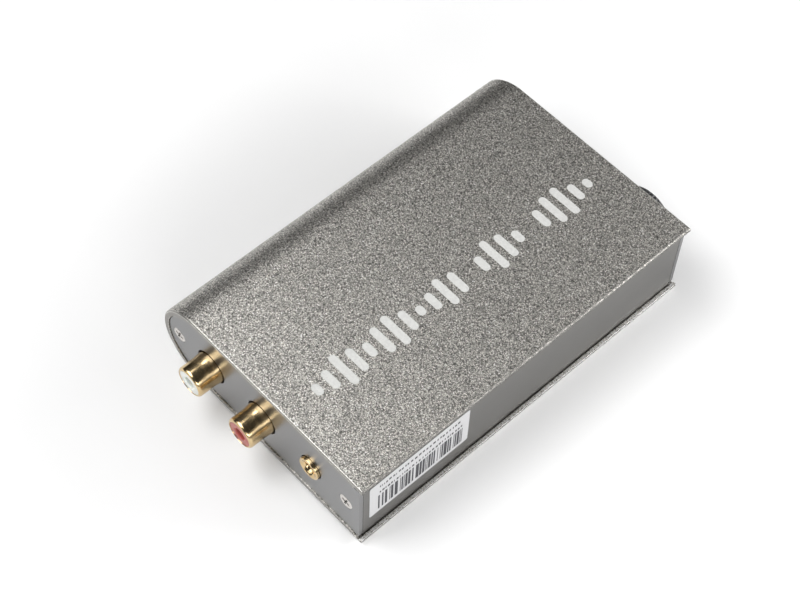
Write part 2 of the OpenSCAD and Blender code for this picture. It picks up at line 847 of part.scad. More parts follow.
// Places of the small surface-mounted parts: short rows beside the chips that they serve.
part_rows = [
    [12, 74, 3, 0, 2.2], [29, 56, 3, 2.2, 0], [52.5, 59, 4, 0, 2.4], [34.5, 77.5, 4, 2.4, 0],
    [16, 60, 3, 0, 2.2], [46, 42, 4, 2.4, 0], [60, 40, 5, 0, 2.4], [46, 15.5, 1, 0, 0]
];

module small_parts(shift, w, l, h) {
    for (row = part_rows, i = [0 : row[2] - 1]) {
        translate([row[0] + i * row[3] + shift - w / 2, row[1] + i * row[4] - l / 2, board_top])
            cube([w, l, h]);
    }
}

module ceramic_capacitors() { color([0.72, 0.6, 0.42]) in_case() small_parts(-0.55, 0.8, 1.6, 0.8); }
module chip_resistors() { color([0.12, 0.12, 0.13]) in_case() small_parts(0.55, 0.8, 1.6, 0.45); }

cover_shell();
side_panel();
output_plate();
control_plate();
panel_screws();
rubber_feet();
top_print();
serial_label();
rca_left_shell();
rca_left_insulator();
rca_left_contact();
rca_left_housing();
rca_right_shell();
rca_right_insulator();
rca_right_contact();
rca_right_housing();
phone_jack_bushing();
phone_jack_housing();
phone_jack_contacts();
volume_knob();
pot_shaft();
pot_wiper();
pot_bushing();
pot_housing();
pot_track();
pot_terminals();
usb_shell();
usb_housing();
usb_contacts();
power_led();
led_holder();
led_leads();
main_board();
usb_controller_chip();
logic_chip();
converter_chip();
flash_chip();
output_amplifiers();
headphone_amplifier();
crystal_oscillators();
electrolytic_capacitors();
film_capacitors();
power_inductors();
voltage_regulators();
mute_relay();
ceramic_capacitors();
chip_resistors();
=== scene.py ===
"""Desktop converter: a flat aluminium case with a half-round spine, sockets, volume knob and circuit board.

Every object is in metres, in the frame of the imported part. Lengths with the suffix _mm are millimetres.
"""

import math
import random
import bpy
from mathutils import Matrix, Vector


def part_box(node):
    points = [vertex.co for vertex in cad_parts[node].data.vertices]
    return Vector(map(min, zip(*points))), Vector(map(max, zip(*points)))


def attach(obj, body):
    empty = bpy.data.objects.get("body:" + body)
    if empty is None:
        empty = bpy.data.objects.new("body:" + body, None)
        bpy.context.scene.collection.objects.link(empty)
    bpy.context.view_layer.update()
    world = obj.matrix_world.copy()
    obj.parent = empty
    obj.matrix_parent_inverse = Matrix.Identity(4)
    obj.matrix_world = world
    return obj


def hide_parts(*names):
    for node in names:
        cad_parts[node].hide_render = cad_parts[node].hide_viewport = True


bl_info = {
    "name": "Desktop converter",
    "version": (1, 0, 0),
    "blender": (4, 5, 0),
    "location": "3D View > Sidebar > Converter",
    "description": "Builds the looks of a desktop converter around its packed frame",
    "category": "Object",
}

import bmesh
import bpy
from bpy.props import FloatProperty, FloatVectorProperty, IntProperty, PointerProperty
from mathutils import Matrix, Quaternion, Vector

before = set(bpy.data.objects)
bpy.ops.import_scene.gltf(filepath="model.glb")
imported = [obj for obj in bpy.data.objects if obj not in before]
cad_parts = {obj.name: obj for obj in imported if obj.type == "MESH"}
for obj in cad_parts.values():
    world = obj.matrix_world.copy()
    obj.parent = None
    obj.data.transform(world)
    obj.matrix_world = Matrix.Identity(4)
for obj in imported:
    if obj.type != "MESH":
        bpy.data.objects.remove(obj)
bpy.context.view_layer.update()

MM = 0.001
CASE = "case"
KNOB_BODY = "volume_control"

# Each soft box: azimuth and elevation in degrees, distance, then width and height of its face
LIGHTS = {
    "key": (-45, 60, 0.5, (0.4, 0.3)),
    "top": (180, 60, 0.6, (0.6, 0.3)),
    "front": (-25, 22, 0.5, (0.4, 0.12)),
    "back": (148, 20, 0.6, (0.5, 0.2)),
    "card": (115, 22, 0.5, (0.4, 0.12)),
    "side": (60, 25, 0.5, (0.4, 0.12)),
}
# The camera looks at this place under the cover, turned a little about its line of sight
AIM_X, AIM_Y = -7.975 * MM, -0.155 * MM
CAMERA_ROLL = math.radians(2.635)
SENSOR_WIDTH = 36
FLOOR_HALF = 1.6

# The thin lips along the open side of the cover, which get painted light and shade, seen from its outer edge
# and its underside
LIP_WIDTH = 0.95 * MM
LIP_HEIGHT = 2.0 * MM
# The lower wall's edges at the cut ends are this near the underside, where painted shade darkens them
LOW_WALL = 2.2 * MM


def direction(azimuth, elevation):
    """Unit vector towards a place round the case: azimuth 0 is on -Y, a quarter turn is on +X."""
    flat = math.cos(elevation)
    return Vector((math.sin(azimuth) * flat, -math.cos(azimuth) * flat, math.sin(elevation)))


def colour_property(name, description, default):
    return FloatVectorProperty(
        name=name, description=description, subtype="COLOR", size=3, min=0, max=1, default=default
    )


def length_property(name, description, default_mm, low_mm, high_mm):
    return FloatProperty(
        name=name, description=description, unit="LENGTH", subtype="DISTANCE",
        default=default_mm * MM, min=low_mm * MM, max=high_mm * MM,
    )


def power_property(name, description, watts):
    return FloatProperty(name=name, description=description, unit="POWER", default=watts, min=0)


def tone_property(name, description, default, high=1):
    return FloatProperty(name=name, description=description, default=default, min=0, max=high)


# ---------- what a user would change ----------


class CaseFinish(bpy.types.PropertyGroup):
    """Colours and surface of the metal case."""

    cover_colour: colour_property("Cover", "Metal of the blasted cover", (0.482, 0.465, 0.434))
    # The side panel is the same satin metal as the end plates; its darker colour is painted shade.
    panel_colour_with_painted_shade: colour_property("Side panel", "Metal of the side panel", (0.192, 0.187, 0.179))
    plate_colour: colour_property("End plates", "Metal of the two end plates", (0.25, 0.25, 0.253))
    grain_size: length_property("Grain", "Size of one blasted grain", 0.26, 0.1, 1.5)
    grain_contrast: tone_property("Grain contrast", "How far grains differ in brightness", 1.6, 2)
    edge_width: length_property("Edge", "Rounding of the panel's and plates' edges", 0.07, 0.01, 0.3)
    cover_edge: length_property("Cover edge", "Bright rounding of the cover's edges", 0.08, 0.02, 0.3)
    edge_colour: colour_property("Cover edges", "Bare metal of the cover's edges", (0.62, 0.61, 0.575))


class SocketFinish(bpy.types.PropertyGroup):
    """Colours of the sockets."""

    gold: colour_property("Gold", "Plating of the phono and headphone sockets", (0.68, 0.515, 0.29))
    left_insulator: colour_property("Left insulator", "Plastic of the left socket", (0.92, 0.88, 0.79))
    right_insulator: colour_property("Right insulator", "Plastic of the right socket", (0.5, 0.1, 0.085))


class PrintFinish(bpy.types.PropertyGroup):
    """Ink on the lid and the sticker on the side."""

    ink: colour_property("Lid ink", "Ink of the level bars on the lid", (0.62, 0.62, 0.6))
    # The sticker is white paper; its grey colour is painted shade.
    paper_with_painted_shade: colour_property("Sticker", "Paper of the side sticker", (0.5, 0.5, 0.505))
    bar_step: length_property("Sticker bar", "Width of the narrowest bar on the sticker", 0.23, 0.1, 0.6)
    bar_seed: IntProperty(name="Bar seed", description="Chooses the made-up bars", default=11, min=0, max=999)


class KnobFinish(bpy.types.PropertyGroup):
    """Shape and colour of the volume knob."""

    colour: colour_property("Knob", "Moulded plastic of the knob", (0.018, 0.018, 0.02))
    flutes: IntProperty(name="Flutes", description="Number of grip flutes", default=40, min=12, max=80)
    flute_depth: length_property("Flute depth", "Depth of a grip flute", 0.24, 0.05, 0.6)


class BoardFinish(bpy.types.PropertyGroup):
    """Colours of the circuit board."""

    mask: colour_property("Solder mask", "Coating of the board", (0.02, 0.17, 0.08))
    sleeve: colour_property("Capacitors", "Sleeve of the electrolytic capacitors", (0.03, 0.05, 0.13))


class StageSetup(bpy.types.PropertyGroup):
    """Floor, lights and camera."""

    floor_tone: tone_property("Floor", "Brightness of the floor", 0.93)
    key_power: power_property("Key light", "Wide soft light over the spine", 2.0)
    top_power: power_property("Top light", "Weak light over the knob", 0.27)
    front_power: power_property("Front light", "Low light in front of the sockets", 0.35)
    back_power: power_property("Back light", "Low light behind the knob", 2.65)
    card_power: power_property("Card", "Small light behind the side panel", 1.0)
    side_power: power_property("Side light", "Small light before the side panel", 0.85)
    room_light: tone_property("Room", "Brightness of the room", 0.02, 2)
    azimuth: FloatProperty(
        name="Azimuth", description="Camera's place round the case", subtype="ANGLE",
        default=math.radians(45.126),
    )
    elevation: FloatProperty(
        name="Elevation", description="Camera's height above the horizon", subtype="ANGLE",
        default=math.radians(56.709),
    )
    distance: length_property("Distance", "From the camera to the point it looks at", 440.04, 100, 2000)
    lens: FloatProperty(
        name="Lens", description="Focal length in millimetres", default=79.69, min=20, max=200,
    )


# ---------- materials ----------


class Finish:
    """One material, with texture coordinates in millimetres of the part's own frame."""

    def __init__(self, name, colour, metallic, roughness, sockets=None):
        self.material = bpy.data.materials.new(name)
        self.material.use_nodes = True
        self.tree = self.material.node_tree
        self.surface = self.tree.nodes["Principled BSDF"]
        self.surface.inputs["Base Color"].default_value = (*colour, 1)
        self.surface.inputs["Metallic"].default_value = metallic
        self.surface.inputs["Roughness"].default_value = roughness
        for socket, value in (sockets or {}).items():
            self.surface.inputs[socket].default_value = value
        self.colour = colour
        place = self.node("ShaderNodeTexCoord")
        scale = self.node("ShaderNodeVectorMath", operation="SCALE")
        scale.inputs["Scale"].default_value = 1 / MM
        self.join(place.outputs["Object"], scale.inputs[0])
        self.place = scale.outputs[0]
        self.facing = place.outputs["Normal"]

    def node(self, kind, **settings):
        made = self.tree.nodes.new(kind)
        for key, value in settings.items():
            setattr(made, key, value)
        return made

    def join(self, source, target):
        self.tree.links.new(source, target)

    def feed(self, socket, value):
        """Puts a value or another node's output into a socket."""
        if isinstance(value, bpy.types.NodeSocket):
            self.join(value, socket)
        else:
            socket.default_value = value

    def stretched(self, x, y, z):
        """The coordinates scaled along each axis."""
        made = self.node("ShaderNodeVectorMath", operation="MULTIPLY")
        self.join(self.place, made.inputs[0])
        made.inputs[1].default_value = (x, y, z)
        return made.outputs[0]

    def noise(self, size_mm, detail=2.0, place=None):
        made = self.node("ShaderNodeTexNoise")
        made.inputs["Scale"].default_value = 1 / size_mm
        made.inputs["Detail"].default_value = detail
        self.join(place or self.place, made.inputs["Vector"])
        return made.outputs["Fac"]

    def cells(self, size_mm):
        """A random value for each cell of a broken pattern."""
        made = self.node("ShaderNodeTexVoronoi")
        made.inputs["Scale"].default_value = 1 / size_mm
        self.join(self.place, made.inputs["Vector"])
        split = self.node("ShaderNodeSeparateColor")
        self.join(made.outputs["Color"], split.inputs[0])
        return split.outputs[0]

    def dots(self, size_mm):
        """Distance from the middle of the nearest cell of a broken pattern, about 0.5 on average."""
        made = self.node("ShaderNodeTexVoronoi")
        made.inputs["Scale"].default_value = 1 / size_mm
        made.inputs["Randomness"].default_value = 0.85
        self.join(self.place, made.inputs["Vector"])
        return made.outputs["Distance"]

    def math(self, operation, a, b=0.0):
        made = self.node("ShaderNodeMath", operation=operation)
        self.feed(made.inputs[0], a)
        self.feed(made.inputs[1], b)
        return made.outputs[0]

    def spread(self, source, low, high):
        """Maps 0 to 1 on to low to high."""
        made = self.node("ShaderNodeMapRange")
        self.join(source, made.inputs["Value"])
        made.inputs["To Min"].default_value = low
        made.inputs["To Max"].default_value = high
        return made.outputs[0]

    def mix(self, factor, a, b):
        made = self.node("ShaderNodeMix", data_type="RGBA")
        self.feed(made.inputs[0], factor)
        for socket, value in ((made.inputs[6], a), (made.inputs[7], b)):
            self.feed(socket, (*value, 1) if isinstance(value, (tuple, list)) else value)
        return made.outputs[2]

    def mix_value(self, factor, a, b):
        """Blends two numbers by a factor."""
        made = self.node("ShaderNodeMix", data_type="FLOAT")
        self.feed(made.inputs[0], factor)
        self.feed(made.inputs[2], a)
        self.feed(made.inputs[3], b)
        return made.outputs[0]

    def shade(self, factor):
        """Multiplies the base colour by a varying factor."""
        made = self.node("ShaderNodeVectorMath", operation="SCALE")
        made.inputs[0].default_value = self.colour
        self.join(factor, made.inputs["Scale"])
        return made.outputs[0]

    def base(self, source):
        self.join(source, self.surface.inputs["Base Color"])

    def rough(self, source):
        self.join(source, self.surface.inputs["Roughness"])

    def bump(self, height, depth_mm, strength=1.0):
        """Raises the surface by height times depth; several calls add up."""
        made = self.node("ShaderNodeBump")
        made.inputs["Strength"].default_value = strength
        made.inputs["Distance"].default_value = depth_mm * MM
        self.join(height, made.inputs["Height"])
        before = self.surface.inputs["Normal"]
        if before.is_linked:
            self.join(before.links[0].from_socket, made.inputs["Normal"])
        self.join(made.outputs[0], before)

    def part_of(self, vector, axis):
        """One component of a vector."""
        split = self.node("ShaderNodeSeparateXYZ")
        self.join(vector, split.inputs[0])
        return split.outputs[axis]

    def along(self, axis):
        """How far the surface faces along one axis, from 0 to 1."""
        return self.math("ABSOLUTE", self.part_of(self.facing, axis))


def lip_painted_light_and_shade(made):
    """Painted light and shade on the lips along the open side: the low lip is painted bright on top, the upper
    lip's chamfer and the outer faces get painted shade.
    """
    low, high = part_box("cover_shell")
    toward_x = made.part_of(made.facing, "X")
    outside = made.math("GREATER_THAN", made.part_of(made.place, "X"), (high.x - LIP_WIDTH) / MM)
    low_down = made.math("LESS_THAN", made.part_of(made.place, "Z"), (low.z + LIP_HEIGHT) / MM)
    chamfer = made.math("GREATER_THAN", toward_x, 0.3)
    outer_face = made.math("GREATER_THAN", toward_x, 0.85)
    # painted shade on the upper chamfer and the outer faces, painted light on the low lip
    upper_chamfer_painted_shade, low_lip_painted_light, outer_face_painted_shade = 0.36, 2.2, 0.45
    inward = made.mix_value(low_down, made.mix_value(chamfer, 1.0, upper_chamfer_painted_shade), low_lip_painted_light)
    lip = made.mix_value(outer_face, inward, outer_face_painted_shade)
    return made.mix_value(outside, 1.0, lip)


def blasted_cover(finish):
    """Bead-blasted and anodised aluminium: every grain gets its own tone and a painted glint, a few a painted
    sparkle; cut ends are smooth, with painted shade where they face down, and the lips carry painted light and
    shade.
    """
    made = Finish("blasted_cover", tuple(finish.cover_colour), 1.0, 0.4)
    grain_mm = finish.grain_size / MM
    contrast = finish.grain_contrast
    grain = made.cells(grain_mm)
    fine = made.cells(grain_mm * 0.6)
    # painted glints in the middles of the pits, a random tone for each grain, and a few painted sparkles
    painted_pit_glints = made.math("POWER", made.math("SUBTRACT", 1.0, made.dots(grain_mm * 1.5)), 3.0)
    pit_glint_tone = made.spread(painted_pit_glints, 0.58, 0.58 + 1.5 * contrast)
    fine_tone = made.spread(grain, -0.28 * contrast, 0.28 * contrast)
    painted_sparkle = made.math("MULTIPLY", made.math("GREATER_THAN", grain, 0.94), 0.45 * contrast)
    patches = made.spread(made.noise(9.0, 3.0), 0.97, 1.03)
    grain_tone_and_glints = made.math("MAXIMUM", made.math("ADD", made.math("ADD", pit_glint_tone, fine_tone), painted_sparkle), 0.1)
    total = made.math("MULTIPLY", made.math("MULTIPLY", grain_tone_and_glints, patches), lip_painted_light_and_shade(made))
    cut = made.math("GREATER_THAN", made.along("Y"), 0.4)
    end_tone = made.spread(made.noise(0.5, 3.0, made.stretched(1.0, 1.0, 6.0)), 0.52, 0.66)
    # painted shade: cut faces that face downwards are darker
    underside_painted_shade = made.math("LESS_THAN", made.part_of(made.facing, "Z"), -0.3)
    cut_tone = made.math("MULTIPLY", end_tone, made.mix_value(underside_painted_shade, 1.0, 0.5))
    made.base(made.shade(made.mix_value(cut, total, cut_tone)))
    made.rough(made.mix_value(cut, made.spread(fine, 0.4, 0.52), made.spread(made.noise(0.3), 0.3, 0.4)))
    pits = made.noise(grain_mm * 0.9, 1.0)
    made.bump(made.math("MULTIPLY", pits, made.math("SUBTRACT", 1.0, cut)), 0.05, 0.8)
    return made.material


def bare_edge(finish):
    """Cover edges rubbed back to bright metal, still sparkling, with painted shade at the low cut ends and the
    lips' painted light and shade.
    """
    made = Finish("bare_edge", tuple(finish.edge_colour), 1.0, 0.35)
    grain = made.cells(finish.grain_size / MM)
    wall_top = (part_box("cover_shell")[0].z + LOW_WALL) / MM
    low_down = made.math("LESS_THAN", made.part_of(made.place, "Z"), wall_top)
    # painted shade: the edges at the low cut ends are darker
    low_end_painted_shade = made.math("MULTIPLY", low_down, made.math("GREATER_THAN", made.along("Y"), 0.2))
    grain_tone_and_low_painted_shade = made.math("MULTIPLY", made.spread(grain, 0.6, 1.25), made.mix_value(low_end_painted_shade, 1.0, 0.4))
    made.base(made.shade(made.math("MULTIPLY", grain_tone_and_low_painted_shade, lip_painted_light_and_shade(made))))
    made.rough(made.spread(grain, 0.28, 0.42))
    made.bump(made.noise(0.2, 2.0), 0.02, 0.6)
    return made.material


def satin_metal(name, colour, roughness=0.36):
    """Smooth anodised sheet with a very fine tooth."""
    made = Finish(name, tuple(colour), 1.0, roughness)
    tooth = made.noise(0.09, 2.0)
    cloud = made.noise(7.0, 3.0)
    tone = made.math("MULTIPLY", made.spread(tooth, 0.94, 1.06), made.spread(cloud, 0.96, 1.04))
    made.base(made.shade(tone))
    made.rough(made.spread(cloud, roughness - 0.03, roughness + 0.04))
    made.bump(tooth, 0.004, 0.6)
    return made.material


def turned_metal(name, colour, roughness=0.2, ring_mm=0.11, metal_wear=0.06):
    """Plated metal turned on a lathe about the Y axis, with faint rings and handling marks."""
    made = Finish(name, tuple(colour), 1.0, roughness)
    rings = made.noise(ring_mm, 1.0, made.stretched(0.02, 1.0, 0.02))
    marks = made.noise(1.6, 4.0)
    made.base(made.shade(made.spread(marks, 1.0 - metal_wear, 1.0 + metal_wear * 0.6)))
    made.rough(made.math("ADD", made.spread(rings, roughness - 0.04, roughness + 0.03),
                         made.spread(marks, -0.02, 0.05)))
    made.bump(rings, 0.0015, 0.5)
    return made.material


def tinned_metal(name, colour=(0.62, 0.62, 0.61), roughness=0.28):
    """Tin or nickel plate with a faint crystal pattern."""
    made = Finish(name, colour, 1.0, roughness)
    crystals = made.cells(0.7)
    dust = made.noise(0.25, 3.0)
    made.base(made.shade(made.spread(crystals, 0.9, 1.05)))
    made.rough(made.math("ADD", made.spread(crystals, roughness - 0.05, roughness + 0.05),
                         made.spread(dust, -0.03, 0.05)))
    made.bump(dust, 0.003, 0.5)
    return made.material


def moulded_plastic(name, colour, roughness=0.4, grain_mm=0.12, depth_mm=0.006, tone=0.06, sockets=None):
    """Moulded plastic with an eroded mould texture."""
    made = Finish(name, tuple(colour), 0.0, roughness, sockets)
    grain = made.noise(grain_mm, 2.0)
    flow = made.noise(3.0, 3.0)
    made.base(made.shade(made.math("MULTIPLY", made.spread(grain, 1 - tone, 1 + tone),
                                   made.spread(flow, 1 - tone * 0.6, 1 + tone * 0.6))))
    made.rough(made.spread(flow, roughness - 0.05, roughness + 0.07))
    made.bump(grain, depth_mm, 0.7)
    return made.material


def screen_ink(finish):
    """Pale ink over the blasted surface, which still shows through as a soft grain."""
    made = Finish("screen_ink", tuple(finish.ink), 0.0, 0.55)
    grain = made.cells(0.4)
    thin = made.noise(0.35, 3.0)
    tone = made.math("MULTIPLY", made.spread(grain, 0.93, 1.05), made.spread(thin, 0.93, 1.05))
    made.base(made.shade(tone))
    made.rough(made.spread(grain, 0.45, 0.65))
    made.bump(made.noise(0.38, 1.0), 0.02, 0.6)
    return made.material


def sticker_paper(name, colour, roughness):
    """Coated paper with faint fibres."""
    made = Finish(name, tuple(colour), 0.0, roughness)
    fibres = made.noise(0.5, 4.0, made.stretched(1.0, 0.35, 1.0))
    made.base(made.shade(made.spread(fibres, 0.95, 1.04)))
    made.rough(made.spread(fibres, roughness - 0.05, roughness + 0.05))
    made.bump(fibres, 0.004, 0.4)
    return made.material


def circuit_board(finish):
    """Green solder mask over copper traces and the weave of the glass cloth."""
    made = Finish("circuit_board", tuple(finish.mask), 0.0, 0.3)
    rows = made.node("ShaderNodeTexBrick", offset=0.5)
    rows.inputs["Scale"].default_value = 0.42
    rows.inputs["Mortar Size"].default_value = 0.09
    made.join(made.stretched(1.0, 0.55, 0.0), rows.inputs["Vector"])
    traces = rows.outputs["Fac"]
    weave = made.noise(0.3, 1.0, made.stretched(1.0, 0.3, 1.0))
    over_copper = tuple(1.9 * part for part in finish.mask)
    made.base(made.mix(traces, made.shade(made.spread(weave, 0.85, 1.15)), over_copper))
    made.rough(made.spread(weave, 0.24, 0.38))
    made.bump(traces, 0.03, 0.6)
    made.bump(weave, 0.004, 0.4)
    return made.material


def wound_core(name, colour):
    """Pressed iron powder with coarse grains."""
    made = Finish(name, colour, 0.1, 0.6)
    grain = made.cells(0.16)
    made.base(made.shade(made.spread(grain, 0.6, 1.5)))
    made.rough(made.spread(grain, 0.5, 0.75))
    made.bump(made.noise(0.2, 2.0), 0.015, 0.7)
    return made.material


def lamp_lens():
    """Diffused epoxy of the power lamp."""
    made = Finish("lamp_lens", (0.72, 0.83, 0.95), 0.0, 0.22, {"Transmission Weight": 0.55})
    cloud = made.noise(0.5, 2.0)
    made.base(made.shade(made.spread(cloud, 0.92, 1.05)))
    made.rough(made.spread(cloud, 0.2, 0.34))
    return made.material


def floor_paper(tone):
    """Matt white paper sweep."""
    made = Finish("floor_paper", (tone, tone, tone), 0.0, 0.9, {"Specular IOR Level": 0.0})
    made.base(made.shade(made.spread(made.noise(40.0, 2.0), 0.995, 1.005)))
    return made.material


# ---------- meshes ----------


def soften(node, width_mm, angle_deg=32, edge_slot=-1):
    """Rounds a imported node's sharp edges with modifiers and smooths its curved faces; its own vertices stay.

    The new faces take the material of edge_slot, or their neighbours' where it is -1.
    """
    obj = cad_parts[node]
    for name in ("custom_normal", "sharp_edge", "sharp_face"):
        attribute = obj.data.attributes.get(name)
        if attribute:
            obj.data.attributes.remove(attribute)
    weld = obj.modifiers.new("weld", "WELD")
    weld.merge_threshold = 0.002 * MM
    flatten = obj.modifiers.new("flatten", "DECIMATE")
    flatten.decimate_type = "DISSOLVE"
    flatten.angle_limit = math.radians(0.5)
    edge = obj.modifiers.new("edge", "BEVEL")
    edge.width = width_mm * MM
    edge.segments = 2
    edge.limit_method = "ANGLE"
    edge.angle_limit = math.radians(angle_deg)
    edge.harden_normals = True
    edge.material = edge_slot
    return obj


def paint(obj, *materials):
    """Gives an object these materials, in slot order."""
    for i, material in enumerate(materials):
        if i < len(obj.material_slots):
            obj.material_slots[i].material = material
        else:
            obj.data.materials.append(material)


def finish_node(node, width_mm, material):
    """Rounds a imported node's edges and gives it its material."""
    paint(soften(node, width_mm), material)


def place_piece(name, mesh_maker, body, slot, replaced, *materials):
    """Makes a new piece from a bmesh function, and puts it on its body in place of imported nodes."""
    mesh = bpy.data.meshes.new(name)
    work = bmesh.new()
    mesh_maker(work)
    bmesh.ops.recalc_face_normals(work, faces=work.faces)
    work.to_mesh(mesh)
    work.free()
    piece = bpy.data.objects.new(name, mesh)
    bpy.context.scene.collection.objects.link(piece)
    paint(piece, *materials)
    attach(piece, body)
    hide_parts(*replaced)
    return piece


def smooth_by_angle(piece, angle_deg=30):
    """Smooths shading except over edges sharper than the angle."""
    piece.data.shade_smooth()
    piece.data.set_sharp_from_angle(angle=math.radians(angle_deg))


def slab(work, low, high, corner=0.0, material=0, steps=4):
    """A thin plate facing +X between two corners, with its other four edges rounded in the plane."""
    ys, zs = (low.y, high.y), (low.z, high.z)
    outline = []
    for cy, cz, start in ((ys[1], zs[1], 0), (ys[0], zs[1], 90), (ys[0], zs[0], 180), (ys[1], zs[0], 270)):
        inward_y = -corner if cy == ys[1] else corner
        inward_z = -corner if cz == zs[1] else corner
        turns = range(steps + 1) if corner else (0,)
        for i in turns:
            angle = math.radians(start + 90 * i / steps)
            along = cy + inward_y + corner * math.cos(angle)
            outline.append((along, cz + inward_z + corner * math.sin(angle)))
    rims = [[work.verts.new((x, y, z)) for y, z in outline] for x in (low.x, high.x)]
    faces = [work.faces.new(rims[0]), work.faces.new(rims[1])]
    count = len(outline)
    for i in range(count):
        j = (i + 1) % count
        faces.append(work.faces.new((rims[0][i], rims[0][j], rims[1][j], rims[1][i])))
    for face in faces:
        face.material_index = material


def block(work, low, high, edge, material=0):
    """A box between two corners with rounded edges."""
    verts = bmesh.ops.create_cube(work, size=1)["verts"]
    size = high - low
    matrix = Matrix.Translation((low + high) / 2) @ Matrix.Diagonal((*size, 1))
    bmesh.ops.transform(work, verts=verts, matrix=matrix)
    edges = list({near for vert in verts for near in vert.link_edges})
    for face in {face for vert in verts for face in vert.link_faces}:
        face.material_index = material
    bmesh.ops.bevel(work, geom=edges, offset=edge, segments=2, affect="EDGES", material=material)


def lathe(work, centre, profile, steps, radius_at=None, material=0):
    """Turns a closed profile of (radius, y) about the Y axis through centre.

    radius_at(angle, radius) may shape it.
    """
    rings = []
    for radius, y in profile:
        if radius < 1e-7:
            rings.append([work.verts.new((centre.x, y, centre.z))])
            continue
        ring = []
        for i in range(steps):
            angle = 2 * math.pi * i / steps
            r = radius_at(angle, radius) if radius_at else radius
            ring.append(work.verts.new((centre.x + r * math.cos(angle), y, centre.z + r * math.sin(angle))))
        rings.append(ring)
    for a, b in zip(rings, rings[1:] + rings[:1]):
        if len(a) == 1 and len(b) == 1:
            continue
        for i in range(steps):
            j = (i + 1) % steps
            corners = [a[0]] if len(a) == 1 else [a[i], a[j]]
            corners += [b[0]] if len(b) == 1 else [b[j], b[i]]
            work.faces.new(corners).material_index = material


def nose(radius, face, across, along, steps=6):
    """A quarter-round profile from a flat face back to a cylinder of this radius."""
    points = []
    for i in range(steps + 1):
        angle = math.radians(90 * i / steps)
        points.append((radius - across * (1 - math.sin(angle)), face + along * (1 - math.cos(angle))))
    return points


def rounded(points, radius, steps=3):
    """Rounds the corners of a closed outline of 2D points with short arcs."""
    result = []
    count = len(points)
    for i, point in enumerate(points):
        here = Vector(point)
        before = Vector(points[i - 1]) - here
        after = Vector(points[(i + 1) % count]) - here
        if here.x < 1e-7 or before.length < 1e-9 or after.length < 1e-9:
            result.append(point)
            continue
        reach = min(radius, before.length * 0.45, after.length * 0.45)
        start, end = here + before.normalized() * reach, here + after.normalized() * reach
        for k in range(steps + 1):
            t = k / steps
            curve = start * (1 - t) ** 2 + here * 2 * t * (1 - t) + end * t**2
            result.append(tuple(curve))
    return result


# ---------- pieces ----------


def sticker_bars(settings, low, high, rng):
    """Made-up bars and rows of dashes: (y0, y1, z0, z1) boxes in metres, inside the sticker."""
    marks = []
    step = settings.bar_step
    height = high.z - low.z
    bars_low, bars_high = low.z + 0.09 * height, low.z + 0.56 * height
    y, stop = low.y + 2.6 * MM, high.y - 2.0 * MM
    while y < stop:
        width = step * rng.choice((1, 1, 2, 2, 3, 4))
        marks.append((y, min(y + width, stop), bars_low, bars_high))
        y += width + step * rng.choice((1, 1, 1, 2, 3))
    rows = ((0.62, 0.68, 0.4, 1.6), (0.81, 0.87, 0.4, 1.8))
    for z0, z1, shortest, longest in rows:
        y = low.y + 3.0 * MM
        while y < stop - longest * MM * 0.4:
            width = rng.uniform(shortest, longest) * MM * 0.45
            lift = rng.uniform(-0.01, 0.01) * height
            marks.append((y, y + width, low.z + z0 * height + lift, low.z + z1 * height + lift))
            y += width + rng.uniform(0.25, 0.6) * MM
    return marks


def make_sticker(settings):
    """The side sticker: a thin sheet with rounded corners and raised ink marks."""
    low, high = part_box("serial_label")
    rng = random.Random(settings.bar_seed)
    ink_t = 0.012 * MM

    def build(work):
        slab(work, low, Vector((high.x - ink_t, high.y, high.z)), 0.5 * MM)
        for y0, y1, z0, z1 in sticker_bars(settings, low, high, rng):
            slab(work, Vector((high.x - ink_t * 1.5, y0, z0)), Vector((high.x, y1, z1)), material=1)

    # the white paper is made grey as painted shade
    paper_with_painted_shade = sticker_paper("sticker_paper", settings.paper_with_painted_shade, 0.5)
    ink = sticker_paper("sticker_ink", (0.03, 0.03, 0.035), 0.6)
    place_piece("side_sticker", build, CASE, "white_label", ["serial_label"], paper_with_painted_shade, ink)


def make_knob(settings):
    """The volume knob: a fluted grip, a dished face and a painted pointer."""
    low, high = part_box("volume_knob")
    centre = (low + high) / 2
    full = (high.x - low.x) / 2
    bore, bore_end = 3.02 * MM, high.y - 0.9 * MM
    per_flute = 12
    back_edge, front_edge = 0.5 * MM, 0.6 * MM
    rim_in, dish_in = 1.5 * MM, 1.9 * MM
    crown = 0.35 * MM
    profile = [
        (0, bore_end), (bore, bore_end), (bore, low.y), (full - back_edge, low.y), (full, low.y + back_edge),
        (full, high.y - front_edge), (full - 0.5 * MM, high.y), (full - rim_in, high.y),
        (full - dish_in, high.y - 0.22 * MM), (full * 0.5, high.y - crown), (0, high.y - crown - 0.05 * MM),
    ]

    def fluted(angle, radius):
        if radius < full - 0.3 * MM:
            return radius
        wave = 0.5 + 0.5 * math.cos(angle * settings.flutes)
        return radius - settings.flute_depth * wave**2

    def build(work):
        lathe(work, centre, rounded(profile, 0.16 * MM), settings.flutes * per_flute, fluted)
        pointer_low = Vector((centre.x - 0.3 * MM, high.y - 0.4 * MM, centre.z + full - 4.4 * MM))
        pointer_high = Vector((centre.x + 0.3 * MM, high.y - 0.17 * MM, centre.z + full - 2.0 * MM))
        block(work, pointer_low, pointer_high, 0.08 * MM, 1)

    grip = moulded_plastic("knob_plastic", settings.colour, 0.38, 0.1, 0.006, 0.1)
    pointer = moulded_plastic("pointer_paint", (0.75, 0.75, 0.72), 0.5, 0.2, 0.004)
    knob = place_piece(
        "volume_knob_grip", build, KNOB_BODY, "knob_plastic", ["volume_knob"], grip, pointer,
    )
    smooth_by_angle(knob, 35)


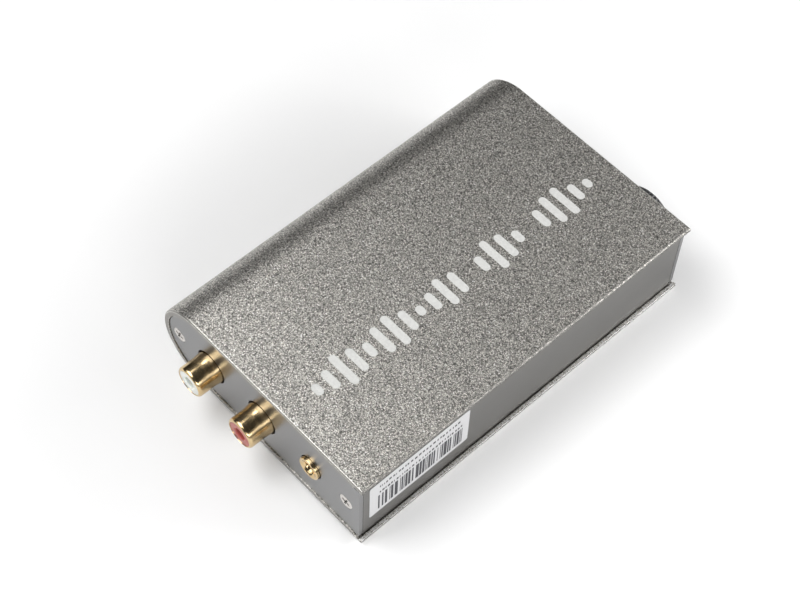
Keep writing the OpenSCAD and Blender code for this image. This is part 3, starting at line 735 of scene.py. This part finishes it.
def make_barrel(side, material):
    """The outer shell of a phono socket: a rounded tip, a barrel, a flared foot and a tag to the board."""
    node = "rca_" + side + "_shell"
    low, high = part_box(node)
    foot_r = (high.x - low.x) / 2
    centre = Vector(((low.x + high.x) / 2, 0, high.z - foot_r))
    barrel_r = foot_r - 0.35 * MM
    bore_r = barrel_r - 0.7 * MM
    sleeve_r = barrel_r - 0.25 * MM
    tip, end = low.y, high.y
    flare_start, foot = tip + 3.8 * MM, tip + 6.6 * MM
    foot_back = foot + 1.2 * MM
    flare, lip = 0.2 * MM, 0.05 * MM
    profile = [(bore_r, tip + lip), (bore_r + lip * 0.3, tip + lip * 0.3), (bore_r + lip, tip)]
    profile += nose(barrel_r, tip, 0.6 * MM, 0.8 * MM)
    for i in range(13):
        t = i / 12
        rise = t * t * (3 - 2 * t)
        profile.append((barrel_r + flare * rise, flare_start + (foot - flare_start) * t))
    profile += [(foot_r - 0.05 * MM, foot_back), (sleeve_r, foot_back), (sleeve_r, end), (bore_r, end)]

    def build(work):
        lathe(work, centre, profile, 96)
        tag_low = Vector((centre.x - 0.5 * MM, tip + 9.4 * MM, low.z))
        tag_high = Vector((centre.x + 0.5 * MM, tip + 9.8 * MM, centre.z - barrel_r + 0.35 * MM))
        block(work, tag_low, tag_high, 0.08 * MM)

    shell = place_piece("phono_" + side + "_barrel", build, CASE, "gold_plate", [node], material)
    smooth_by_angle(shell, 40)


def make_core(side, slot, material):
    """The plastic core of a phono socket: a flat face inside the barrel's tip, and a countersunk hole."""
    node = "rca_" + side + "_insulator"
    low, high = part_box(node)
    centre = (low + high) / 2
    outer = (high.x - low.x) / 2
    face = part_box("rca_" + side + "_shell")[0].y + 0.1 * MM
    step = low.y + 1.1 * MM
    hole, contact_r = 1.65 * MM, 2.2 * MM
    sink, rim = 0.25 * MM, 0.08 * MM
    profile = [(contact_r, high.y), (contact_r, step), (hole, step)]
    profile += [(hole, face + sink), (hole + sink, face), (outer - rim, face)]
    profile += [(outer - rim * 0.3, face + rim * 0.3), (outer, face + rim), (outer, high.y)]

    def build(work):
        lathe(work, centre, profile, 96)

    core = place_piece("phono_" + side + "_core", build, CASE, slot, [node], material)
    smooth_by_angle(core, 40)


def make_bushing(material):
    """The threaded ring of the headphone socket: a rounded rim, a countersunk mouth and a plain bore."""
    low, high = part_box("phone_jack_bushing")
    centre = (low + high) / 2
    ring_r = (high.x - low.x) / 2
    bore_r = 1.8 * MM
    face, end = low.y, high.y
    collar_end = end - 2.1 * MM
    profile = [(bore_r, end), (bore_r, face + 0.75 * MM)]
    profile += [(bore_r + 0.1 * MM, face + 0.6 * MM), (bore_r + 0.62 * MM, face + 0.12 * MM)]
    profile += [(bore_r + 0.78 * MM, face)]
    profile += nose(ring_r, face, 0.3 * MM, 0.3 * MM)
    profile += [(ring_r, collar_end), (ring_r - 0.5 * MM, collar_end), (ring_r - 0.5 * MM, end)]

    def build(work):
        lathe(work, centre, profile, 72)

    ring = place_piece("headphone_ring", build, CASE, "gold_plate", ["phone_jack_bushing"], material)
    smooth_by_angle(ring, 40)


# ---------- operators ----------


class BuildOperator:
    """What the operators share."""

    bl_options = {"REGISTER", "UNDO"}

    @classmethod
    def poll(cls, context):
        return context.scene is not None


class CONVERTER_OT_stage(BuildOperator, bpy.types.Operator):
    """Lay the floor, set the lights and place the camera"""

    bl_idname = "converter.stage"
    bl_label = "Stage"

    def execute(self, context):
        settings = context.scene.converter_stage
        self.lay_floor(context, settings)
        self.set_lights(context, settings)
        self.place_camera(context, settings)
        context.scene.view_settings.view_transform = "Standard"
        return {"FINISHED"}

    def lay_floor(self, context, settings):
        half = FLOOR_HALF
        corners = [(-half, -half, 0), (half, -half, 0), (half, half, 0), (-half, half, 0)]
        mesh = bpy.data.meshes.new("floor")
        mesh.from_pydata(corners, [], [(0, 1, 2, 3)])
        floor = bpy.data.objects.new("floor", mesh)
        context.scene.collection.objects.link(floor)
        paint(floor, floor_paper(settings.floor_tone))

    def add_light(self, context, name, azimuth_deg, elevation_deg, distance, size, power):
        """A soft box that points at the middle of the case."""
        light = bpy.data.lights.new(name, "AREA")
        light.shape = "RECTANGLE"
        light.size, light.size_y = size
        light.energy = power
        lamp = bpy.data.objects.new(name, light)
        towards = direction(math.radians(azimuth_deg), math.radians(elevation_deg))
        lamp.location = towards * distance
        lamp.rotation_mode = "QUATERNION"
        lamp.rotation_quaternion = towards.to_track_quat("Z", "Y")
        lamp.visible_camera = False
        context.scene.collection.objects.link(lamp)

    def set_lights(self, context, settings):
        for name, (azimuth_deg, elevation_deg, distance, size) in LIGHTS.items():
            power = getattr(settings, name + "_power")
            self.add_light(context, name + "_light", azimuth_deg, elevation_deg, distance, size, power)
        world = bpy.data.worlds.new("room")
        world.use_nodes = True
        level = settings.room_light
        world.node_tree.nodes["Background"].inputs["Color"].default_value = (level, level, level, 1)
        context.scene.world = world

    def place_camera(self, context, settings):
        target = Vector((AIM_X, AIM_Y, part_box("cover_shell")[0].z))
        back = direction(settings.azimuth, settings.elevation)
        data = bpy.data.cameras.new("camera")
        data.lens = settings.lens
        data.sensor_width = SENSOR_WIDTH
        data.clip_start, data.clip_end = 0.01, 20
        camera = bpy.data.objects.new("camera", data)
        camera.location = target + back * settings.distance
        camera.rotation_mode = "QUATERNION"
        camera.rotation_quaternion = back.to_track_quat("Z", "Y") @ Quaternion((0, 0, 1), CAMERA_ROLL)
        context.scene.collection.objects.link(camera)
        context.scene.camera = camera


class CONVERTER_OT_case(BuildOperator, bpy.types.Operator):
    """Finish the cover, the side panel and the two end plates"""

    bl_idname = "converter.case"
    bl_label = "Case"

    def execute(self, context):
        settings = context.scene.converter_case
        edge_mm = settings.edge_width / MM
        cover = soften("cover_shell", settings.cover_edge / MM, edge_slot=1)
        paint(cover, blasted_cover(settings), bare_edge(settings))
        # the side panel's darker colour is painted shade
        finish_node("side_panel", edge_mm, satin_metal("side_panel_metal", settings.panel_colour_with_painted_shade, 0.34))
        plate = satin_metal("end_plate_metal", settings.plate_colour, 0.32)
        finish_node("output_plate", edge_mm, plate)
        finish_node("control_plate", edge_mm, plate)
        return {"FINISHED"}


class CONVERTER_OT_fasteners(BuildOperator, bpy.types.Operator):
    """Finish the countersunk screws and the rubber feet"""

    bl_idname = "converter.fasteners"
    bl_label = "Screws and feet"

    def execute(self, context):
        finish_node("panel_screws", 0.05, tinned_metal("screw_nickel", (0.66, 0.63, 0.6), 0.22))
        rubber = moulded_plastic("foot_rubber", (0.02, 0.02, 0.021), 0.7, 0.25, 0.02, 0.15)
        finish_node("rubber_feet", 0.1, rubber)
        return {"FINISHED"}


class CONVERTER_OT_print(BuildOperator, bpy.types.Operator):
    """Ink the lid and stick on the side label"""

    bl_idname = "converter.print"
    bl_label = "Print and sticker"

    def execute(self, context):
        settings = context.scene.converter_print
        paint(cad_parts["top_print"], screen_ink(settings))
        make_sticker(settings)
        return {"FINISHED"}


class CONVERTER_OT_sockets(BuildOperator, bpy.types.Operator):
    """Finish the phono and headphone sockets"""

    bl_idname = "converter.sockets"
    bl_label = "Output sockets"

    def execute(self, context):
        settings = context.scene.converter_sockets
        gold = turned_metal("gold_plating", settings.gold)
        body = moulded_plastic("socket_body", (0.02, 0.02, 0.022), 0.45)
        waxy = {"Subsurface Weight": 0.2}
        cores = {
            "left": ("white_plastic", settings.left_insulator),
            "right": ("red_plastic", settings.right_insulator),
        }
        for side, (slot, tint) in cores.items():
            plastic = moulded_plastic(side + "_insulator", tint, 0.3, 0.3, 0.004, 0.05, waxy)
            make_barrel(side, gold)
            finish_node("rca_" + side + "_contact", 0.03, gold)
            make_core(side, slot, plastic)
            finish_node("rca_" + side + "_housing", 0.1, body)
        make_bushing(gold)
        finish_node("phone_jack_housing", 0.1, body)
        finish_node("phone_jack_contacts", 0.03, tinned_metal("spring_contacts"))
        return {"FINISHED"}


class CONVERTER_OT_controls(BuildOperator, bpy.types.Operator):
    """Finish the volume control, the USB socket and the lamp"""

    bl_idname = "converter.controls"
    bl_label = "Control end"

    def execute(self, context):
        make_knob(context.scene.converter_knob)
        tin = tinned_metal("tin_plating")
        for node in ("pot_shaft", "pot_bushing", "pot_housing", "pot_terminals", "led_leads"):
            finish_node(node, 0.03, tin)
        finish_node("pot_wiper", 0.03, moulded_plastic("wiper_board", (0.3, 0.15, 0.05), 0.5))
        finish_node("pot_track", 0.02, wound_core("carbon_track", (0.03, 0.026, 0.024)))
        finish_node("usb_shell", 0.05, tinned_metal("usb_shell_tin", (0.66, 0.66, 0.66), 0.22))
        finish_node("usb_housing", 0.05, moulded_plastic("usb_plastic", (0.82, 0.82, 0.79), 0.35))
        finish_node("usb_contacts", 0.02, turned_metal("contact_gold", (0.85, 0.6, 0.25), 0.2))
        finish_node("led_holder", 0.08, moulded_plastic("lamp_holder", (0.02, 0.02, 0.022), 0.45))
        finish_node("power_led", 0.02, lamp_lens())
        return {"FINISHED"}


class CONVERTER_OT_board(BuildOperator, bpy.types.Operator):
    """Finish the circuit board and what is on it"""

    bl_idname = "converter.board"
    bl_label = "Circuit board"

    def execute(self, context):
        settings = context.scene.converter_board
        finish_node("main_board", 0.03, circuit_board(settings))
        epoxy = moulded_plastic("chip_epoxy", (0.022, 0.022, 0.024), 0.5, 0.06, 0.004, 0.12)
        chips = ("usb_controller_chip", "logic_chip", "converter_chip", "flash_chip", "output_amplifiers",
                 "headphone_amplifier", "voltage_regulators")
        for node in chips:
            finish_node(node, 0.02, epoxy)
        others = {
            "electrolytic_capacitors": moulded_plastic("capacitor_sleeve", settings.sleeve, 0.28, 0.5, 0.01),
            "film_capacitors": moulded_plastic("film_case", (0.4, 0.03, 0.02), 0.25, 0.6, 0.004),
            "crystal_oscillators": tinned_metal("crystal_can", (0.6, 0.6, 0.59), 0.25),
            "power_inductors": wound_core("iron_powder", (0.07, 0.07, 0.073)),
            "mute_relay": moulded_plastic("relay_case", (0.68, 0.64, 0.52), 0.35),
            "ceramic_capacitors": moulded_plastic("ceramic_body", (0.42, 0.28, 0.15), 0.45, 0.1, 0.003, 0.1),
            "chip_resistors": moulded_plastic("resistor_body", (0.02, 0.02, 0.022), 0.3, 0.1, 0.003, 0.1),
        }
        for node, material in others.items():
            finish_node(node, 0.03, material)
        return {"FINISHED"}


class CONVERTER_PT_panel(bpy.types.Panel):
    """Sizes and colours of the converter, and the steps that build it"""

    bl_idname = "CONVERTER_PT_panel"
    bl_label = "Converter"
    bl_space_type = "VIEW_3D"
    bl_region_type = "UI"
    bl_category = "Converter"

    def draw(self, context):
        for operator, group in STEPS:
            box = self.layout.box()
            box.operator(operator.bl_idname)
            if group:
                settings = getattr(context.scene, group)
                for name in type(settings).__annotations__:
                    box.prop(settings, name)


GROUPS = {
    "converter_stage": StageSetup,
    "converter_case": CaseFinish,
    "converter_print": PrintFinish,
    "converter_sockets": SocketFinish,
    "converter_knob": KnobFinish,
    "converter_board": BoardFinish,
}
STEPS = (
    (CONVERTER_OT_stage, "converter_stage"),
    (CONVERTER_OT_case, "converter_case"),
    (CONVERTER_OT_fasteners, None),
    (CONVERTER_OT_print, "converter_print"),
    (CONVERTER_OT_sockets, "converter_sockets"),
    (CONVERTER_OT_controls, "converter_knob"),
    (CONVERTER_OT_board, "converter_board"),
)
CLASSES = (*GROUPS.values(), *(operator for operator, _ in STEPS), CONVERTER_PT_panel)


def register():
    for cls in CLASSES:
        bpy.utils.register_class(cls)
    for name, group in GROUPS.items():
        setattr(bpy.types.Scene, name, PointerProperty(type=group))


def unregister():
    for name in GROUPS:
        delattr(bpy.types.Scene, name)
    for cls in reversed(CLASSES):
        bpy.utils.unregister_class(cls)


def main():
    register()
    for operator, _ in STEPS:
        category, name = operator.bl_idname.split(".")
        getattr(getattr(bpy.ops, category), name)()


if __name__ == "__main__":
    main()
